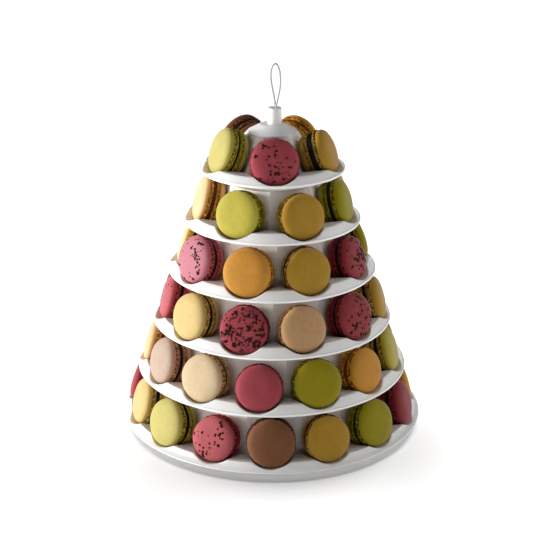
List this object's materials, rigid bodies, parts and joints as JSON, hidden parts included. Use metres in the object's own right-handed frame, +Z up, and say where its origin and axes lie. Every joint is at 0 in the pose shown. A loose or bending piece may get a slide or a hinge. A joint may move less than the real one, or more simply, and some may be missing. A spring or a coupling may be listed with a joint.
{
  "type": "macaron tower",
  "caption": "Cone-shaped party stand of stacked white trays, filled all round with leaning macarons in many colours, lifted by a wire loop on a small grip",
  "frame": {"origin": "middle of the face that the stand rests on", "axes": "+Z up along the tower's axis, -Y is the front, +X to the right seen from the front"},
  "size_m": [0.25, 0.25, 0.3027],
  "materials": {
    "stand_plastic": "smooth white food-safe plastic, satin gloss",
    "loop_wire": "thin grey wire, dull shine",
    "shell_raspberry": "baked meringue shell, raspberry pink, matt with a faint sheen",
    "shell_cherry": "baked meringue shell, dark red, matt with a faint sheen",
    "shell_lime": "baked meringue shell, yellow green, matt with a faint sheen",
    "shell_pistachio": "baked meringue shell, olive green, matt with a faint sheen",
    "shell_caramel": "baked meringue shell, olive gold, matt with a faint sheen",
    "shell_orange": "baked meringue shell, orange, matt with a faint sheen",
    "shell_lemon": "baked meringue shell, pale yellow, matt with a faint sheen",
    "shell_biscuit": "baked meringue shell, tan beige, matt with a faint sheen",
    "shell_blush": "baked meringue shell, pinkish beige, matt with a faint sheen",
    "shell_cocoa": "baked meringue shell, chocolate brown, matt with a faint sheen"
  },
  "bodies": {
    "root": {"stand": "stand_plastic", "grip": "stand_plastic", "loop": "loop_wire", "macaron_1_01": "shell_raspberry", "macaron_1_02": "shell_caramel", "macaron_1_03": "shell_orange", "macaron_1_04": "shell_cocoa", "macaron_1_05": "shell_lime", "macaron_2_01": "shell_caramel", "macaron_2_02": "shell_pistachio", "macaron_2_03": "shell_biscuit", "macaron_2_04": "shell_raspberry", "macaron_2_05": "shell_cocoa", "macaron_2_06": "shell_orange", "macaron_2_07": "shell_lime", "macaron_3_01": "shell_orange", "macaron_3_02": "shell_caramel", "macaron_3_03": "shell_cherry", "macaron_3_04": "shell_pistachio", "macaron_3_05": "shell_lemon", "macaron_3_06": "shell_cocoa", "macaron_3_07": "shell_lime", "macaron_3_08": "shell_lemon", "macaron_3_09": "shell_raspberry", "macaron_4_01": "shell_biscuit", "macaron_4_02": "shell_cherry", "macaron_4_03": "shell_caramel", "macaron_4_04": "shell_orange", "macaron_4_05": "shell_lime", "macaron_4_06": "shell_blush", "macaron_4_07": "shell_pistachio", "macaron_4_08": "shell_cocoa", "macaron_4_09": "shell_raspberry", "macaron_4_10": "shell_lemon", "macaron_4_11": "shell_raspberry", "macaron_5_01": "shell_raspberry", "macaron_5_02": "shell_pistachio", "macaron_5_03": "shell_orange", "macaron_5_04": "shell_lemon", "macaron_5_05": "shell_caramel", "macaron_5_06": "shell_blush", "macaron_5_07": "shell_cocoa", "macaron_5_08": "shell_lime", "macaron_5_09": "shell_raspberry", "macaron_5_10": "shell_biscuit", "macaron_5_11": "shell_orange", "macaron_5_12": "shell_blush", "macaron_5_13": "shell_biscuit", "macaron_6_01": "shell_cocoa", "macaron_6_02": "shell_caramel", "macaron_6_03": "shell_pistachio", "macaron_6_04": "shell_cherry", "macaron_6_05": "shell_orange", "macarons_6_06_07": "shell_lemon", "macarons_6_08_09": "shell_biscuit", "macarons_6_10_11": "shell_lime", "macaron_6_12": "shell_raspberry", "macaron_6_13": "shell_lemon", "macaron_6_14": "shell_lime", "macaron_6_15": "shell_raspberry"}
  },
  "joints": []
}
